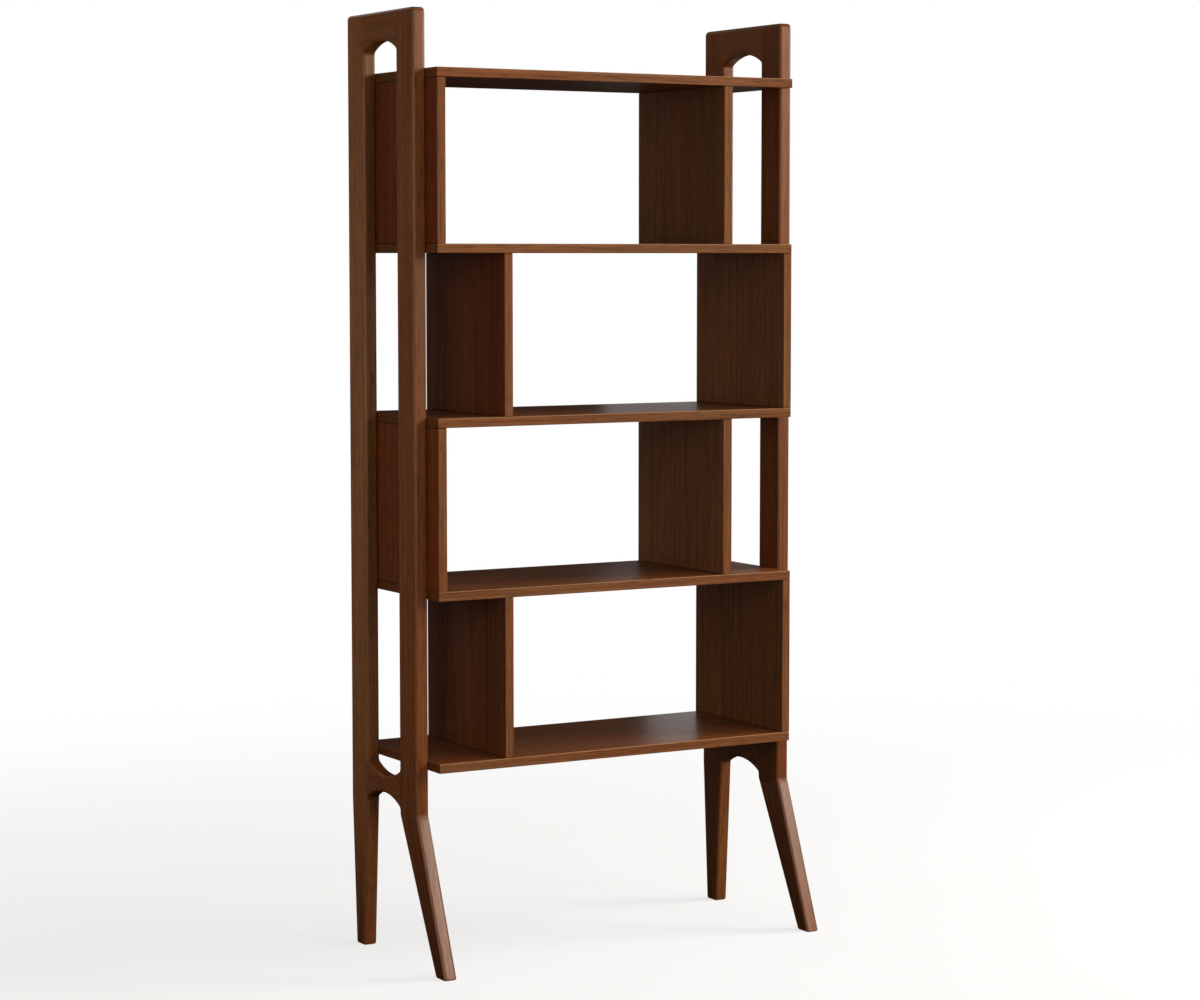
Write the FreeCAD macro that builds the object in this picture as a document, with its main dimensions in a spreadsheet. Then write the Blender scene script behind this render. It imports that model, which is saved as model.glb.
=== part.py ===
import FreeCAD, Part
import os
import re

import Sketcher

# Zigzag bookshelf: five shelves and eight dividers stacked between two open side frames.
# Millimetres. +X is the viewer's right, -Y is the front and +Z is up. The origin lies on the floor,
# under the middle of the overall width and depth.

TOUCH = 0.01

# Driving sizes, one cell each.
SIZES = {
    # Side frames, seen from the side
    "frame_rise": "113",
    "frame_thickness": "28",
    "post_width": "68",
    "slot_width": "145",
    "arch_rise": "20",
    "arch_corner_radius": "6",
    "top_rail_thickness": "55",
    "lower_rail_thickness": "34",
    "crotch_height": "300",
    "top_corner_radius": "9",
    "edge_round": "6",
    # Splayed front leg
    "toe_splay": "119",
    "front_foot_width": "38",
    "knee_height": "296",
    "heel_drop": "11",
    "leg_joint_drop": "8",
    # Tapered rear leg
    "rear_foot_width": "36",
    "rear_taper": "17",
    "taper_height": "294",
    # Mortise and tenon joints of the side frames
    "rail_housing": "3",
    "tenon_thickness": "10",
    "tenon_height": "44",
    "tenon_length": "22",
    "tenon_shoulder": "15",
    "leg_tenon_width": "24",
    "leg_tenon_length": "40",
    "leg_tenon_setback": "13",
    "joint_clearance": "0.1",
    "glue_gap": "1",
    # Shelves and dividers
    "shelf_length": "794",
    "board_depth": "330",
    "shelf_thickness": "18",
    "divider_thickness": "18",
    "bottom_shelf_rise": "8",
    "bay_height": "310",
    "niche_width": "142",
    # Stopped tongues of the dividers
    "tongue_thickness": "6",
    "tongue_height": "4",
    "tongue_setback": "30",
    "groove_gap": "0.4",
    # Stub tenons on the shelf ends, one in each post
    "stub_width": "44",
    "stub_thickness": "10",
    "stub_length": "14",
}

SHELF_NAMES = ["bottom_shelf", "fourth_shelf", "third_shelf", "second_shelf", "top_shelf"]
ROW_NAMES = ["fourth_row", "third_row", "second_row", "first_row"]

doc = FreeCAD.newDocument("zigzag_bookshelf")
sheet = doc.addObject("Spreadsheet::Sheet", "Sizes")
for row, (alias, number) in enumerate(SIZES.items(), 1):
    sheet.set(f"A{row}", alias)
    sheet.set(f"B{row}", number)
    sheet.setAlias(f"B{row}", alias)
doc.recompute()


def size(text):
    """Expression with each driving size written as the sheet's own cell."""
    return re.sub("[a-z_]+", lambda word: f"Sizes.{word[0]}" if word[0] in SIZES else word[0], text)


def value(text):
    """Number that an expression of driving sizes has now."""
    return float(sheet.evalExpression(size(text)))


def bind(item, **expressions):
    """Ties properties of an object to expressions of driving sizes."""
    for name, text in expressions.items():
        item.setExpression(name, size(text))
    return item


def place(item, x="0", y="0", z="0"):
    """Ties an object's place to expressions of driving sizes."""
    for axis, text in (("x", x), ("y", y), ("z", z)):
        item.setExpression(f"Placement.Base.{axis}", size(text))
    return item


# Places that several pieces share. Depths run from the toes to the rear, heights from the floor.
OVERALL_DEPTH = "( toe_splay + 2 * post_width + slot_width )"
FRONT_EDGE = "( toe_splay + post_width )"
REAR_EDGE = f"( {FRONT_EDGE} + slot_width )"
SLOT_MIDDLE = f"( {FRONT_EDGE} + slot_width / 2 )"
SLOT_BOTTOM = "( crotch_height + 2 * arch_rise + lower_rail_thickness )"
HEEL_HEIGHT = "( crotch_height - heel_drop )"
ARCH_RADIUS = "( ( slot_width * slot_width / 4 + arch_rise * arch_rise ) / ( 2 * arch_rise ) )"
BOARD_FRONT = f"( {OVERALL_DEPTH} - board_depth )"
FRAME_CENTRE = "( ( shelf_length + frame_thickness ) / 2 )"
POST_CENTRES = ["( toe_splay + post_width / 2 )", f"( {OVERALL_DEPTH} - post_width / 2 )"]
HALF_DEPTH = f"( {OVERALL_DEPTH} / 2 )"


def shelf_bottom(number):
    """Height of a shelf's underside. The bottom shelf, number 0, lies just over the lower rails."""
    return f"( {SLOT_BOTTOM} + bottom_shelf_rise + {number} * ( bay_height + shelf_thickness ) )"


FRAME_HEIGHT = f"( {shelf_bottom(len(ROW_NAMES))} + shelf_thickness + frame_rise )"
SLOT_TOP = f"( {FRAME_HEIGHT} - top_rail_thickness - arch_rise )"


def new_sketch(body, name, plane, offset="0"):
    """Sketch on one of the body's own planes, moved along the plane's normal."""
    sketch = body.newObject("Sketcher::SketchObject", name)
    for feature in body.Origin.OriginFeatures:
        if feature.Role == plane:
            sketch.AttachmentSupport = [(feature, "")]
    sketch.MapMode = "FlatFace"
    sketch.setExpression("AttachmentOffset.Base.z", size(offset))
    return sketch


def tie_point(sketch, curve, end, across, up):
    """Dimensions one point of a sketch from the sketch's origin."""
    for kind, axis, text in (("DistanceX", -2, across), ("DistanceY", -1, up)):
        if text == "0":
            sketch.addConstraint(Sketcher.Constraint("PointOnObject", curve, end, axis))
            continue
        index = sketch.addConstraint(Sketcher.Constraint(kind, -1, 1, curve, end, value(text)))
        sketch.setExpression(f"Constraints[{index}]", size(text))


def draw_outline(sketch, corners):
    """Closed outline through the corners. A corner that gives a bulge starts an arch of ARCH_RADIUS."""
    points = [FreeCAD.Vector(value(across), value(up), 0) for across, up, bulge in corners]
    curves = []
    for index, (across, up, bulge) in enumerate(corners):
        start = points[index]
        finish = points[(index + 1) % len(points)]
        if bulge:
            crown = (start + finish) / 2 + FreeCAD.Vector(0, bulge * value("arch_rise"), 0)
            curves.append(sketch.addGeometry(Part.Arc(start, crown, finish)))
        else:
            curves.append(sketch.addGeometry(Part.LineSegment(start, finish)))
    # An arc always runs anticlockwise, so its start can be the outline's later point.
    ends = []
    for curve, start in zip(curves, points):
        first = sketch.getPoint(curve, 1)
        ends.append((1, 2) if first.distanceToPoint(start) < TOUCH else (2, 1))
    for index, curve in enumerate(curves):
        following = (index + 1) % len(curves)
        sketch.addConstraint(
            Sketcher.Constraint("Coincident", curve, ends[index][1], curves[following], ends[following][0])
        )
        across, up, bulge = corners[index]
        tie_point(sketch, curve, ends[index][0], across, up)
        if bulge:
            radius = sketch.addConstraint(Sketcher.Constraint("Radius", curve, value(ARCH_RADIUS)))
            sketch.setExpression(f"Constraints[{radius}]", size(ARCH_RADIUS))


def draw_rectangle(sketch, left, right, low, high):
    """Rectangle between four dimensioned sides."""
    draw_outline(sketch, [(left, low, 0), (right, low, 0), (right, high, 0), (left, high, 0)])


def grow(body, kind, sketch, length, reverse=False, symmetric=False):
    """Pad or pocket of a sketch."""
    feature = body.newObject(f"PartDesign::{kind}", f"{sketch.Name}_{kind.lower()}")
    feature.Profile = sketch
    feature.Reversed = reverse
    if symmetric:
        feature.SideType = "Symmetric"
    bind(feature, Length=length)
    sketch.Visibility = False
    doc.recompute()
    return feature


def ease(body, base, name, radius, chosen):
    """Fillet on the chosen edges of a feature."""
    edges = [f"Edge{i}" for i, edge in enumerate(base.Shape.Edges, 1) if chosen(edge)]
    if not edges:
        raise RuntimeError(f"{name} finds no edge to round")
    feature = body.newObject("PartDesign::Fillet", name)
    feature.Base = (base, edges)
    bind(feature, Radius=radius)
    doc.recompute()
    return feature


def runs_through(edge, corners):
    """True for an edge that runs through the frame's thickness at one of the outline's corners."""
    start = edge.Vertexes[0].Point
    finish = edge.Vertexes[-1].Point
    if abs(start.y - finish.y) > TOUCH or abs(start.z - finish.z) > TOUCH:
        return False
    return any(abs(start.y - y) < TOUCH and abs(start.z - z) < TOUCH for y, z in corners)


def box(name, low, high):
    """Block between two corners given as expressions."""
    block = doc.addObject("Part::Box", name)
    bind(
        block,
        Length=f"{high[0]} - ( {low[0]} )",
        Width=f"{high[1]} - ( {low[1]} )",
        Height=f"{high[2]} - ( {low[2]} )",
    )
    return place(block, *low)


def joined(kind, name, shapes):
    """One object from several, as a Part::MultiFuse, Part::MultiCommon or Part::Compound."""
    group = doc.addObject(f"Part::{kind}", name)
    if kind == "Compound":
        group.Links = shapes
    else:
        group.Shapes = shapes
    return group


def cut(name, base, tools):
    """The base less all the tools."""
    result = doc.addObject("Part::Cut", name)
    result.Base = base
    result.Tool = joined("MultiFuse", f"{name}_tools", tools)
    return result


# Side frame as it is shaped after glue-up: both posts, both rails and both legs in one outline.
def make_frame_blank():
    """Body of a whole side frame, centred on its own thickness."""
    body = doc.addObject("PartDesign::Body", "frame_blank")
    outline = new_sketch(body, "frame_outline", "YZ_Plane")
    rear_foot_front = f"{OVERALL_DEPTH} - rear_taper - rear_foot_width"
    knee = ("toe_splay", "knee_height", 0)
    heel = (FRONT_EDGE, HEEL_HEIGHT, 0)
    crotch_front = (FRONT_EDGE, "crotch_height", 1)
    crotch_rear = (REAR_EDGE, "crotch_height", 0)
    taper_start = (OVERALL_DEPTH, "taper_height", 0)
    top_rear = (OVERALL_DEPTH, FRAME_HEIGHT, 0)
    top_front = ("toe_splay", FRAME_HEIGHT, 0)
    draw_outline(
        outline,
        [
            ("0", "0", 0),
            ("front_foot_width", "0", 0),
            heel,
            crotch_front,
            crotch_rear,
            (rear_foot_front, "0", 0),
            (f"{OVERALL_DEPTH} - rear_taper", "0", 0),
            taper_start,
            top_rear,
            top_front,
            knee,
        ],
    )
    slot = [
        (FRONT_EDGE, SLOT_BOTTOM, -1),
        (REAR_EDGE, SLOT_BOTTOM, 0),
        (REAR_EDGE, SLOT_TOP, 1),
        (FRONT_EDGE, SLOT_TOP, 0),
    ]
    draw_outline(outline, slot)
    feature = grow(body, "Pad", outline, "frame_thickness", symmetric=True)
    roundings = [
        ("arch_corner_rounds", "arch_corner_radius", [crotch_front, crotch_rear, *slot]),
        ("top_corner_rounds", "top_corner_radius", [top_rear, top_front]),
    ]
    for name, radius, corners in roundings:
        places = [(value(across), value(up)) for across, up, bulge in corners]
        feature = ease(body, feature, name, radius, lambda edge: runs_through(edge, places))
    half = value("frame_thickness") / 2

    def on_face(edge):
        bounds = edge.BoundBox
        flat = bounds.XLength < TOUCH and abs(abs(bounds.XMax) - half) < TOUCH
        return flat and bounds.ZMax > TOUCH

    ease(body, feature, "edge_rounds", "edge_round", on_face)
    return body


# Zones and tenons that part the frame into its glued pieces.
def across_thickness(low, high):
    """Corners of a block that spans the frame's thickness with room to spare."""
    return ("- frame_thickness", *low), ("frame_thickness", *high)


def make_rail_zones():
    """Blocks that hold the two rails with their corner curves, each let into the posts by the housing."""
    front = f"{FRONT_EDGE} - rail_housing"
    rear = f"{REAR_EDGE} + rail_housing"
    spans = [
        ("top_rail_zone", f"{SLOT_TOP} - arch_corner_radius", f"{FRAME_HEIGHT} + frame_thickness"),
        ("lower_rail_zone", "crotch_height - arch_corner_radius", f"{SLOT_BOTTOM} + arch_corner_radius"),
    ]
    return [box(name, *across_thickness((front, low), (rear, high))) for name, low, high in spans]


def make_leg_zone():
    """Wedge that holds the front leg, under a plane just below the knee and the heel."""
    body = doc.addObject("PartDesign::Body", "leg_zone")
    sketch = new_sketch(body, "leg_zone_outline", "YZ_Plane")
    slope = f"( ( {HEEL_HEIGHT} - knee_height ) / post_width )"
    front = "- frame_thickness"
    low = "- frame_thickness"
    front_top = f"knee_height - leg_joint_drop + {slope} * ( {front} - toe_splay )"
    rear_top = f"{HEEL_HEIGHT} - leg_joint_drop"
    low_corners = [(front, low, 0), (FRONT_EDGE, low, 0)]
    draw_outline(sketch, [*low_corners, (FRONT_EDGE, rear_top, 0), (front, front_top, 0)])
    grow(body, "Pad", sketch, "2 * frame_thickness", symmetric=True)
    return body


def tenon(name, low, high, room="0"):
    """Tenon centred in the frame's thickness, or its mortise where room is given."""
    half = f"tenon_thickness / 2 + {room}"
    return box(name, (f"- ( {half} )", *low), (half, *high))


def make_rail_joint(name, level):
    """Both tenons of a rail, and the mortise for each in the front and the rear post."""
    tenons = []
    mortises = []
    for side, edge, way in (("front", FRONT_EDGE, "-"), ("rear", REAR_EDGE, "+")):
        tip = f"{edge} {way} rail_housing {way} tenon_length"
        floor = f"{tip} {way} glue_gap"
        low, high = (tip, edge) if way == "-" else (edge, tip)
        tenons.append(tenon(f"{name}_{side}_tenon", (low, level), (high, f"{level} + tenon_height")))
        low, high = (floor, edge) if way == "-" else (edge, floor)
        mortises.append(
            tenon(
                f"{name}_{side}_mortise",
                (low, f"{level} - joint_clearance"),
                (high, f"{level} + tenon_height + joint_clearance"),
                "joint_clearance",
            )
        )
    return tenons, mortises


def make_leg_joint():
    """Tenon on top of the front leg, and its mortise in the foot of the front post."""
    low = "toe_splay + leg_tenon_setback"
    high = f"{low} + leg_tenon_width"
    root = f"min({HEEL_HEIGHT}; knee_height) - 2 * leg_joint_drop"
    tip = f"max({HEEL_HEIGHT}; knee_height) + leg_tenon_length"
    made = tenon("leg_tenon", (low, root), (high, tip))
    mortise = tenon(
        "leg_mortise",
        (f"{low} - joint_clearance", root),
        (f"{high} + joint_clearance", f"{tip} + glue_gap"),
        "joint_clearance",
    )
    return made, mortise


def shelf_mortises(name, inner_way, centre):
    """Mortises for the shelves' stub tenons in the inner face of one post."""
    face = "frame_thickness / 2"
    floor = f"{face} - stub_length - glue_gap"
    mouth = f"{face} + stub_length"
    low, high = (floor, mouth) if inner_way > 0 else (f"- ( {mouth} )", f"- ( {floor} )")
    half_width = "stub_width / 2 + joint_clearance"
    half_height = "stub_thickness / 2 + joint_clearance"
    made = []
    for number, shelf in enumerate(SHELF_NAMES):
        height = f"{shelf_bottom(number)} + shelf_thickness / 2"
        made.append(
            box(
                f"{name}_{shelf}_mortise",
                (low, f"{centre} - ( {half_width} )", f"{height} - ( {half_height} )"),
                (high, f"{centre} + {half_width}", f"{height} + {half_height}"),
            )
        )
    return made


def make_frames():
    """The glued pieces of both side frames: posts, legs and rails."""
    blank = make_frame_blank()
    top_zone, lower_zone = make_rail_zones()
    leg_zone = make_leg_zone()
    top_tenons, top_mortises = make_rail_joint("top_rail", f"{SLOT_TOP} + tenon_shoulder")
    lower_tenons, lower_mortises = make_rail_joint("lower_rail", "crotch_height + tenon_shoulder")
    leg_tenon, leg_mortise = make_leg_joint()
    low = "- frame_thickness"
    high = f"{FRAME_HEIGHT} + frame_thickness"
    front_half = box("front_half", *across_thickness((low, low), (SLOT_MIDDLE, high)))
    rear = f"{OVERALL_DEPTH} + frame_thickness"
    rear_half = box("rear_half", *across_thickness((SLOT_MIDDLE, low), (rear, high)))
    pieces = []
    for side, inner_way in (("left", 1), ("right", -1)):
        zones = [top_zone, lower_zone]
        front_stubs = shelf_mortises(f"{side}_front", inner_way, POST_CENTRES[0])
        rear_stubs = shelf_mortises(f"{side}_rear", inner_way, POST_CENTRES[1])
        front_mortises = [leg_mortise, top_mortises[0], lower_mortises[0]]
        rear_mortises = [top_mortises[1], lower_mortises[1]]
        front_tools = [rear_half, *zones, leg_zone, *front_mortises, *front_stubs]
        rear_tools = [front_half, *zones, *rear_mortises, *rear_stubs]
        made = [
            cut(f"{side}_front_post", blank, front_tools),
            cut(f"{side}_rear_post", blank, rear_tools),
        ]
        tenoned = [
            ("top_rail", top_zone, top_tenons),
            ("lower_rail", lower_zone, lower_tenons),
            ("front_leg", leg_zone, [leg_tenon]),
        ]
        for name, zone, tenons in tenoned:
            core = joined("MultiCommon", f"{side}_{name}_core", [blank, zone])
            made.append(joined("MultiFuse", f"{side}_{name}", [core, *tenons]))
        # Both short rails of a frame share a node as separate solids.
        front_post, rear_post, top_rail, lower_rail, leg = made
        rails = joined("Compound", f"{side}_rails", [top_rail, lower_rail])
        for piece in (front_post, rear_post, leg, rails):
            place(piece, f"- {inner_way} * {FRAME_CENTRE}", f"- {HALF_DEPTH}")
            pieces.append(piece)
    return pieces


# Zigzag of the dividers: one stands at the end of the shelves, the other is set in by the niche.
def divider_faces(row):
    """Left-hand faces of a row's two dividers, as expressions."""
    left_end = "- shelf_length / 2"
    right_end = "shelf_length / 2 - divider_thickness"
    if row % 2:
        return left_end, f"{right_end} - niche_width"
    return f"{left_end} + niche_width", right_end


def cut_grooves(body, name, row, level, reverse):
    """Stopped grooves in a shelf's face for the tongues of one row of dividers."""
    sketch = new_sketch(body, name, "XY_Plane", level)
    for face in divider_faces(row):
        left = f"{face} + ( divider_thickness - tongue_thickness ) / 2 - joint_clearance"
        right = f"{left} + tongue_thickness + 2 * joint_clearance"
        front = "tongue_setback - joint_clearance"
        draw_rectangle(sketch, left, right, front, f"board_depth - ( {front} )")
    grow(body, "Pocket", sketch, "tongue_height + groove_gap", reverse)


def make_shelf(number):
    """Shelf board with a stub tenon for each post and grooves for the dividers."""
    name = SHELF_NAMES[number]
    body = doc.addObject("PartDesign::Body", name)
    outline = new_sketch(body, f"{name}_outline", "XY_Plane")
    draw_rectangle(outline, "- shelf_length / 2", "shelf_length / 2", "0", "board_depth")
    grow(body, "Pad", outline, "shelf_thickness")
    low = "( shelf_thickness - stub_thickness ) / 2"
    for end, offset, reverse in (("left", "- shelf_length / 2", True), ("right", "shelf_length / 2", False)):
        stubs = new_sketch(body, f"{name}_{end}_stubs", "YZ_Plane", offset)
        for centre in POST_CENTRES:
            front = f"{centre} - {BOARD_FRONT} - stub_width / 2"
            draw_rectangle(stubs, front, f"{front} + stub_width", low, f"{low} + stub_thickness")
        grow(body, "Pad", stubs, "stub_length", reverse)
    if number > 0:
        cut_grooves(body, f"{name}_lower_grooves", number - 1, "0", True)
    if number < len(ROW_NAMES):
        cut_grooves(body, f"{name}_upper_grooves", number, "shelf_thickness", False)
    return place(body, "0", f"{BOARD_FRONT} - {HALF_DEPTH}", shelf_bottom(number))


def make_divider(row, side, face):
    """Upright board with a stopped tongue on its top and bottom edges."""
    name = f"{ROW_NAMES[row]}_{side}_divider"
    body = doc.addObject("PartDesign::Body", name)
    outline = new_sketch(body, f"{name}_outline", "XY_Plane")
    draw_rectangle(outline, "0", "divider_thickness", "0", "board_depth")
    grow(body, "Pad", outline, "bay_height")
    left = "( divider_thickness - tongue_thickness ) / 2"
    for end, level, reverse in (("lower", "0", True), ("upper", "bay_height", False)):
        tongue = new_sketch(body, f"{name}_{end}_tongue", "XY_Plane", level)
        right = f"{left} + tongue_thickness"
        draw_rectangle(tongue, left, right, "tongue_setback", "board_depth - tongue_setback")
        grow(body, "Pad", tongue, "tongue_height", reverse)
    return place(body, face, f"{BOARD_FRONT} - {HALF_DEPTH}", f"{shelf_bottom(row)} + shelf_thickness")


def write_parts(pieces):
    """Checks every object, then writes one file for each piece."""
    doc.recompute()
    for item in doc.Objects:
        if {"Invalid", "Error"} & set(item.State):
            raise RuntimeError(f"{item.Label} failed: {item.State}")
    for piece in pieces:
        if piece.Shape.isNull() or not piece.Shape.isValid():
            raise RuntimeError(f"{piece.Label} has no valid shape")
    os.makedirs("parts", exist_ok=True)
    for piece in pieces:
        piece.Shape.exportStep(f"parts/{piece.Label}.step")
        print(piece.Label, len(piece.Shape.Solids), round(piece.Shape.Volume))


pieces = make_frames()
pieces.extend(make_shelf(number) for number in range(len(SHELF_NAMES)))
for row in range(len(ROW_NAMES)):
    for side, face in zip(("left", "right"), divider_faces(row)):
        pieces.append(make_divider(row, side, face))
write_parts(pieces)
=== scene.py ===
import math

import bmesh
import bpy
from bpy.props import FloatProperty, FloatVectorProperty, PointerProperty
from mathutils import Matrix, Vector


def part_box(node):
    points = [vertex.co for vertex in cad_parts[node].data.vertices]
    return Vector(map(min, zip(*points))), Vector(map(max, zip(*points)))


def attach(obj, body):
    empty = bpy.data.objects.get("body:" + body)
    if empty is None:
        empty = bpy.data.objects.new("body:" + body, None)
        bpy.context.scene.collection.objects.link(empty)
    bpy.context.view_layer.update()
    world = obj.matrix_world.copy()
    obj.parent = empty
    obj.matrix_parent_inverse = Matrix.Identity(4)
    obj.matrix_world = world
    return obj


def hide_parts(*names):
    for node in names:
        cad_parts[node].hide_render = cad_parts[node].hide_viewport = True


bl_info = {
    "name": "Zigzag Bookshelf",
    "version": (1, 0, 0),
    "blender": (4, 5, 0),
    "location": "View3D > Sidebar > Bookshelf",
    "description": "Dresses the zigzag bookshelf in round-edged frames, eased boards and stained wood",
    "category": "Add Mesh",
}

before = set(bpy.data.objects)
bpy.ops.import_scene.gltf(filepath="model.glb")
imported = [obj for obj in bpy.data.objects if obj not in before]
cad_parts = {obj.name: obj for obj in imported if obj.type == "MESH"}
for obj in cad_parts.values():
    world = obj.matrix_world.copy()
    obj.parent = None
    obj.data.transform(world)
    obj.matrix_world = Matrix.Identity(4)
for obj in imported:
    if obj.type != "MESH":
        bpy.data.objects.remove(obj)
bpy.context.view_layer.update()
front_post_low, front_post_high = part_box("left_front_post")
rear_post_low, rear_post_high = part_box("left_rear_post")
front_leg_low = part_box("left_front_leg")[0]

SIDES = {"left": -1, "right": 1}
RAILS = ["top_rail", "lower_rail"]
SHELVES = ["bottom_shelf", "fourth_shelf", "third_shelf", "second_shelf", "top_shelf"]
ROWS = ["fourth_row", "third_row", "second_row", "first_row"]
# Tones of the broad faces of a piece, in red, green and blue, where they are not the plain one. They are
# partly colour that differs from board to board and partly painted light and shade, for pieces that lay in
# more or less light.
BOARD_TONES_AND_PAINTED_LIGHT = {
    "left_rear_post": (1.20, 1.50, 1.85),
    "right_rear_post": (0.85, 0.90, 1.05),
    "right_front_post": (0.68, 0.66, 0.70),
    "right_front_leg": (0.85, 0.82, 0.82),
    "left_front_leg": (0.97, 0.88, 0.85),
    "right_rails": (0.84, 0.92, 1.00),
    "first_row_left_divider": (1.08, 0.84, 0.83),
    "first_row_right_divider": (0.88, 0.98, 0.93),
    "second_row_left_divider": (0.98, 0.70, 0.35),
    "second_row_right_divider": (1.03, 1.15, 1.15),
    "third_row_left_divider": (1.36, 1.07, 0.88),
    "third_row_right_divider": (1.04, 1.26, 1.40),
    "fourth_row_left_divider": (0.98, 0.86, 0.75),
    "fourth_row_right_divider": (0.88, 1.06, 1.08),
    "bottom_shelf": (1.05, 1.00, 0.95),
}
# Painted sheen on the narrow front and rear edges of the boards, by slot: it greys them as a satin gloss
# would.
PAINTED_EDGE_SHEEN = {"shelf_wood": (1.02, 1.17, 1.36), "divider_wood": (1.05, 1.16, 1.25)}
PLAIN_TONE = (1.0, 1.0, 1.0)
# Painted shade: how much darker the legs are at the floor, where less light reaches them.
PAINTED_FOOT_SHADE = 0.4
# Places of the front and the rear joint in a pair.
FRONT = 0
REAR = 1
# Where the first piece of a group lies in the wood, and how far the next one is from it.
PLANKS = {
    "front_post": (0.21, 0.37),
    "rear_post": (1.13, 0.41),
    "front_leg": (2.07, 0.43),
    "rails": (3.02, 0.39),
    "shelf": (4.1, 0.53),
    "divider": (7.3, 0.47),
}
# How far the lower rail of a frame is from its top rail in the wood.
RAIL_STEP = 0.17
ARCH_STEPS = 20
ROUND_STEPS = 6
CORNER_STEPS = 4
ARRIS_STEPS = 2
SMOOTH_ANGLE = math.radians(40)
# Normals along an axis have a part over FLAT in it, those of an eased edge have one over TILTED.
FLAT = 0.99
TILTED = 0.2
# Points closer than this are one point.
TOUCH = 1e-5
# Depth left free behind a tenon and a tongue, in clearances.
MORTISE_ROOM = 10
GROOVE_ROOM = 4
# Side of the small plane that an outline starts from.
SEED = 0.01


def linear(code):
    """Linear colour from an sRGB hex code."""
    channels = [int(code[i : i + 2], 16) / 255 for i in (1, 3, 5)]
    return tuple(c / 12.92 if c <= 0.04045 else ((c + 0.055) / 1.055) ** 2.4 for c in channels)


# Sizes and colours that a user would change.
def length(name, description, default):
    """Length property in metres."""
    return FloatProperty(
        name=name, description=description, default=default, min=0, precision=4, unit="LENGTH"
    )


def colour(name, description, code):
    """Colour property from an sRGB hex code."""
    return FloatVectorProperty(
        name=name, description=description, default=linear(code), size=3, min=0, max=1, subtype="COLOR"
    )


class FrameSizes(bpy.types.PropertyGroup):
    """Sizes of the two side frames, seen from the side."""

    thickness: length("Thickness", "Thickness of a frame", front_post_high.x - front_post_low.x)
    height: length("Height", "Height of a frame", front_post_high.z)
    post_width: length("Post width", "Depth of a post, front to rear", front_post_high.y - front_post_low.y)
    arch_rise: length("Arch rise", "Rise of the slot's arched ends and of the arch between the legs", 0.020)
    arch_corner: length("Arch corner", "Radius where an arch meets a post", 0.006)
    top_rail: length("Top rail", "Height of the top rail at its middle", 0.055)
    lower_rail: length("Lower rail", "Height of the lower rail at its middle", 0.034)
    crotch_height: length("Crotch height", "Height where the arch between the legs starts", 0.300)
    top_corner: length("Top corner", "Radius of the top corners", 0.009)
    edge_round: length("Edge round", "Radius along the edges of the frame's faces", 0.006)
    front_foot: length("Front foot", "Depth of a front foot", 0.038)
    knee_height: length("Knee height", "Height of the bend at the front", 0.296)
    knee_round: length("Knee round", "Radius of the bend at the front", 0.012)
    heel_drop: length("Heel drop", "How far the rear bend lies under the crotch", 0.011)
    heel_round: length("Heel round", "Radius of the bend at the rear of the front leg", 0.018)
    rear_foot: length("Rear foot", "Depth of a rear foot", 0.036)
    rear_taper: length("Rear taper", "How far the rear leg's back edge comes forward", 0.017)
    taper_height: length("Taper height", "Height where the rear leg starts to taper", 0.294)
    taper_round: length("Taper round", "Radius where the rear leg starts to taper", 0.150)
    foot_arris: length("Foot arris", "Size of the eased edge under a foot", 0.0035)
    rail_housing: length("Rail housing", "Depth that a rail is let into a post", 0.003)
    tenon_thickness: length("Tenon thickness", "Thickness of the tenons of rails and legs", 0.010)
    tenon_height: length("Tenon height", "Height of a rail's tenon", 0.044)
    tenon_length: length("Tenon length", "Length of a rail's tenon", 0.022)
    tenon_shoulder: length("Tenon shoulder", "Height of a rail's tenon over its lower corner", 0.015)
    leg_joint_drop: length("Leg joint drop", "How far the leg's joint lies under knee and heel", 0.008)
    leg_tenon_width: length("Leg tenon width", "Width of the leg's tenon", 0.024)
    leg_tenon_length: length("Leg tenon length", "Height of the leg's tenon over the knee", 0.040)
    leg_tenon_setback: length("Leg tenon setback", "How far the leg's tenon lies behind the front", 0.013)


class BoardSizes(bpy.types.PropertyGroup):
    """Sizes of the shelves, the dividers and their joints."""

    arris: length("Arris", "Size of the eased edges of a board", 0.0012)
    stub_width: length("Stub width", "Width of a shelf's stub tenon", 0.044)
    stub_thickness: length("Stub thickness", "Thickness of a shelf's stub tenon", 0.010)
    stub_length: length("Stub length", "Length of a shelf's stub tenon", 0.014)
    tongue_thickness: length("Tongue thickness", "Thickness of a divider's tongue", 0.006)
    tongue_height: length("Tongue height", "Height of a divider's tongue", 0.004)
    tongue_setback: length("Tongue setback", "How far a tongue stops behind the board's edge", 0.030)
    clearance: length("Clearance", "Room on each side of a joint", 0.0001)


class WoodColours(bpy.types.PropertyGroup):
    """Stain colours."""

    frame_dark: colour("Frame, dark grain", "Late wood of the posts, legs and rails", "#603215")
    frame_mid: colour("Frame, ground", "Ground colour of the posts, legs and rails", "#78431F")
    frame_light: colour("Frame, light grain", "Early wood of the posts, legs and rails", "#8E5129")
    board_dark: colour("Boards, dark grain", "Late wood of the shelves and dividers", "#603315")
    board_mid: colour("Boards, ground", "Ground colour of the shelves and dividers", "#774321")
    board_light: colour("Boards, light grain", "Early wood of the shelves and dividers", "#8B512A")
    # This is a painted highlight on the shelves' upper eased edges, where they catch the light.
    painted_arris_highlight: colour("Boards, rubbed arris", "Stain that was rubbed thin along the eased edges", "#B07C52")
    floor: colour("Floor", "Pale studio floor", "#F4F3F1")


# Modelling steps that several pieces share.
def activate(piece):
    """Makes a piece the only selected object."""
    bpy.ops.object.select_all(action="DESELECT")
    piece.select_set(True)
    bpy.context.view_layer.objects.active = piece


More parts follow.
